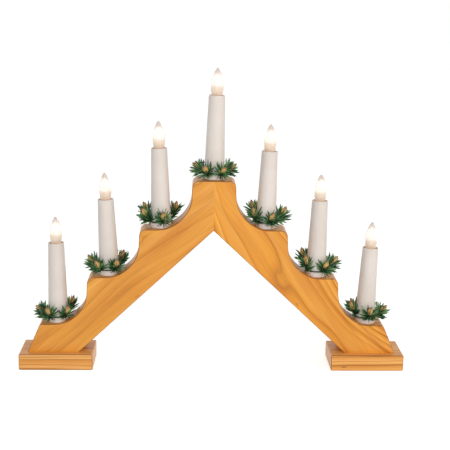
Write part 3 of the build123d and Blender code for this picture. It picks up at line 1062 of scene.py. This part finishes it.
    # A pointed bud on the end of every twig
    bud_spine = node(tree, "GeometryNodeResampleCurve", {"Curve": spine.outputs[0], "Count": 9})
    bud_marked = node(
        tree,
        "GeometryNodeStoreNamedAttribute",
        {"Geometry": bud_spine.outputs[0], "Name": "blade_reach", "Value": along},
        data_type="FLOAT",
        domain="POINT",
    )
    bud_swell = swelling(tree, along, 0.50, 0.06, (0.20, 0.88), (0.42, 1.0), (0.72, 0.66))
    bud_radius = node(
        tree,
        "ShaderNodeMath",
        {0: bud_swell, 1: given["Bud Radius"]},
        operation="MULTIPLY",
    )
    bud_section = node(tree, "GeometryNodeCurvePrimitiveCircle", {"Resolution": 9, "Radius": 1.0})
    bud_grown = node(
        tree,
        "GeometryNodeCurveToMesh",
        {
            "Curve": bud_marked.outputs[0],
            "Profile Curve": bud_section.outputs[0],
            "Scale": bud_radius.outputs[0],
            "Fill Caps": True,
        },
    )
    bud_stretch = node(tree, "ShaderNodeCombineXYZ", {"X": 1.0, "Y": 1.0, "Z": given["Bud Length"]})
    at_end = node(
        tree,
        "FunctionNodeCompare",
        {0: order.outputs[0], 1: last.outputs[0]},
        operation="GREATER_EQUAL",
    )
    buds = node(
        tree,
        "GeometryNodeInstanceOnPoints",
        {
            "Points": roots.outputs["Points"],
            "Selection": at_end.outputs[0],
            "Instance": bud_grown.outputs[0],
            "Rotation": roots.outputs["Rotation"],
            "Scale": bud_stretch.outputs[0],
        },
    )
    bud_smooth = node(tree, "GeometryNodeSetShadeSmooth", {"Geometry": buds.outputs[0]})
    bud_made = node(
        tree, "GeometryNodeSetMaterial", {"Geometry": bud_smooth.outputs[0], "Material": bud_finish}
    )

    # The twig itself
    stem_section = node(
        tree, "GeometryNodeCurvePrimitiveCircle", {"Resolution": 7, "Radius": given["Twig Radius"]}
    )
    stems = node(
        tree,
        "GeometryNodeCurveToMesh",
        {"Curve": twigs, "Profile Curve": stem_section.outputs[0], "Fill Caps": True},
    )
    stem_made = node(
        tree, "GeometryNodeSetMaterial", {"Geometry": stems.outputs[0], "Material": bark_finish}
    )
    joined = node(tree, "GeometryNodeJoinGeometry", {0: needles.outputs[0]})
    tree.links.new(bud_made.outputs[0], joined.inputs[0])
    tree.links.new(stem_made.outputs[0], joined.inputs[0])
    whole = node(tree, "GeometryNodeRealizeInstances", {"Geometry": joined.outputs[0]})
    out = node(tree, "NodeGroupOutput", {0: whole.outputs[0]})
    out.is_active_output = True
    return tree


sprigs = sprig_tree()
solids = bpy.data.collections.new("solids_beside_wreaths")
solids.objects.link(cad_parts["left_arm"])
solids.objects.link(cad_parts["right_arm"])
for order in range(len(CANDLE_LEANS)):
    solids.objects.link(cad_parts[f"collar_{order + 1}"])
    solids.objects.link(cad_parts[f"sleeve_{order + 1}"])


def twig_lines(order):
    """Ends of one wreath's twigs, each rooted on the ring and bent by hand."""
    place = candle_place(order)
    ends = []
    for turn, rise, length in SPRIG_BENDS[order]:
        out = Vector((math.cos(math.radians(turn)), math.sin(math.radians(turn)), 0))
        way = out * math.cos(math.radians(rise)) + Vector((0, 0, math.sin(math.radians(rise))))
        root = out * RING_RADIUS + Vector((0, 0, RING_HEIGHT))
        ends += [place @ root, place @ (root + way * length * MM)]
    return ends


def grow_wreath(order):
    """The sprigs of one wreath as a plain mesh that lifts off with its ring."""
    ends = twig_lines(order)
    lines = bpy.data.meshes.new("twig_lines")
    lines.from_pydata(ends, [(at, at + 1) for at in range(0, len(ends), 2)], [])
    piece = bpy.data.objects.new(f"fir_sprigs_{order + 1}", lines)
    bpy.context.scene.collection.objects.link(piece)
    grower = piece.modifiers.new("grow", "NODES")
    grower.node_group = sprigs
    items = sprigs.interface.items_tree
    sockets = {item.name: item.identifier for item in items if item.in_out == "INPUT"}
    steps_down = abs(order - len(CANDLE_LEANS) // 2)
    grower[sockets["Seed"]] = order + FIRST_SEED
    grower[sockets["Shelf Height"]] = TOP_SHELF - STEP_RISE * steps_down + SHELF_GAP
    grower[sockets["Keep Clear Of"]] = solids
    seen = piece.evaluated_get(bpy.context.evaluated_depsgraph_get())
    grown = bpy.data.meshes.new_from_object(seen)
    piece.modifiers.remove(grower)
    piece.data = grown
    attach(piece, f"wreath_{order + 1}")
    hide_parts(f"wreath_sprigs_{order + 1}")


for order in range(len(CANDLE_LEANS)):
    grow_wreath(order)
bpy.data.collections.remove(solids)

# Floor and room: plain white, and white wherever the camera, gloss or glass looks past the arch
FLOOR_REACH = 6
FLOOR_GLOW = 0.55
ROOM_LIGHT = 0.50
floor_mesh = bpy.data.meshes.new("floor")
corners = [(x * FLOOR_REACH, y * FLOOR_REACH, 0) for x, y in ((-1, -1), (1, -1), (1, 1), (-1, 1))]
floor_mesh.from_pydata(corners, [], [(0, 1, 2, 3)])
floor = bpy.data.objects.new("floor", floor_mesh)
bpy.context.scene.collection.objects.link(floor)


def seen_share(tree):
    """One where the camera, a gloss or a glass looks, nought where only light falls."""
    path = node(tree, "ShaderNodeLightPath").outputs
    plain = node(
        tree,
        "ShaderNodeMath",
        {0: path["Is Camera Ray"], 1: path["Is Glossy Ray"]},
        operation="MAXIMUM",
    )
    seen = node(
        tree,
        "ShaderNodeMath",
        {0: plain.outputs[0], 1: path["Is Transmission Ray"]},
        operation="MAXIMUM",
    )
    return seen.outputs[0]


floor_finish, floor_tree, floor_output = new_material("white_floor")
floor_glow = node(
    floor_tree, "ShaderNodeMath", {0: seen_share(floor_tree), 1: FLOOR_GLOW}, operation="MULTIPLY"
)
floor_shader = node(
    floor_tree,
    "ShaderNodeBsdfPrincipled",
    {
        "Base Color": linear("#F2F2F2"),
        "Roughness": 0.8,
        "Specular IOR Level": 0.1,
        "Emission Color": (1, 1, 1, 1),
        "Emission Strength": floor_glow.outputs[0],
    },
)
floor_tree.links.new(floor_shader.outputs[0], floor_output.inputs["Surface"])
floor_mesh.materials.append(floor_finish)

world = bpy.data.worlds.new("white_room")
bpy.context.scene.world = world
world.use_nodes = True
room_tree = world.node_tree
room_tree.nodes.clear()
room_level = node(
    room_tree, "ShaderNodeMapRange", {"Value": seen_share(room_tree), "To Min": ROOM_LIGHT}
)
room_light = node(
    room_tree, "ShaderNodeBackground", {"Color": (1, 1, 1, 1), "Strength": room_level.outputs[0]}
)
node(room_tree, "ShaderNodeOutputWorld", {"Surface": room_light.outputs[0]})


def softbox(name, place, aim, width, level, colour):
    """A square soft light whose level is the share of white it gives a surface at the aim."""
    light = bpy.data.lights.new(name, "AREA")
    light.size = width
    light.color = linear(colour)[:3]
    way = Vector(aim) - Vector(place)
    light.energy = level * math.pi**2 * way.length**2
    held = bpy.data.objects.new(name, light)
    facing = way.to_track_quat("-Z", "Y").to_matrix().to_4x4()
    held.matrix_world = Matrix.Translation(place) @ facing
    bpy.context.scene.collection.objects.link(held)


MIDDLE = (0, 0, 0.13)
softbox("front_light", (-0.05, -1.6, 0.9), MIDDLE, width=1.0, level=0.38, colour="#FFFDFA")
softbox("side_light", (1.3, -1.2, 0.7), MIDDLE, width=0.8, level=0.24, colour="#FFF2E6")

# Camera as it stood for the photograph: level with the room, looking slightly down
LENS = 80.0
SENSOR = 36.0
CAMERA_PLACE = (-23.1 * MM, -999.4 * MM, 390.6 * MM)
PITCH = math.radians(13.5)
YAW = math.radians(2.0)
ROLL = math.radians(0.9)
camera = bpy.data.cameras.new("camera")
camera.lens = LENS
camera.sensor_width = SENSOR
camera_holder = bpy.data.objects.new("camera", camera)
ahead = Vector((math.sin(YAW), math.cos(YAW), 0))
forward = ahead * math.cos(PITCH) + Vector((0, 0, -math.sin(PITCH)))
level_right = Vector((math.cos(YAW), -math.sin(YAW), 0))
level_up = level_right.cross(forward)
right = level_right * math.cos(ROLL) + level_up * math.sin(ROLL)
up = level_up * math.cos(ROLL) - level_right * math.sin(ROLL)
aim = Matrix((right, up, -forward)).transposed().to_4x4()
camera_holder.matrix_world = Matrix.Translation(CAMERA_PLACE) @ aim
bpy.context.scene.collection.objects.link(camera_holder)
bpy.context.scene.camera = camera_holder
bpy.context.scene.view_settings.view_transform = "Standard"
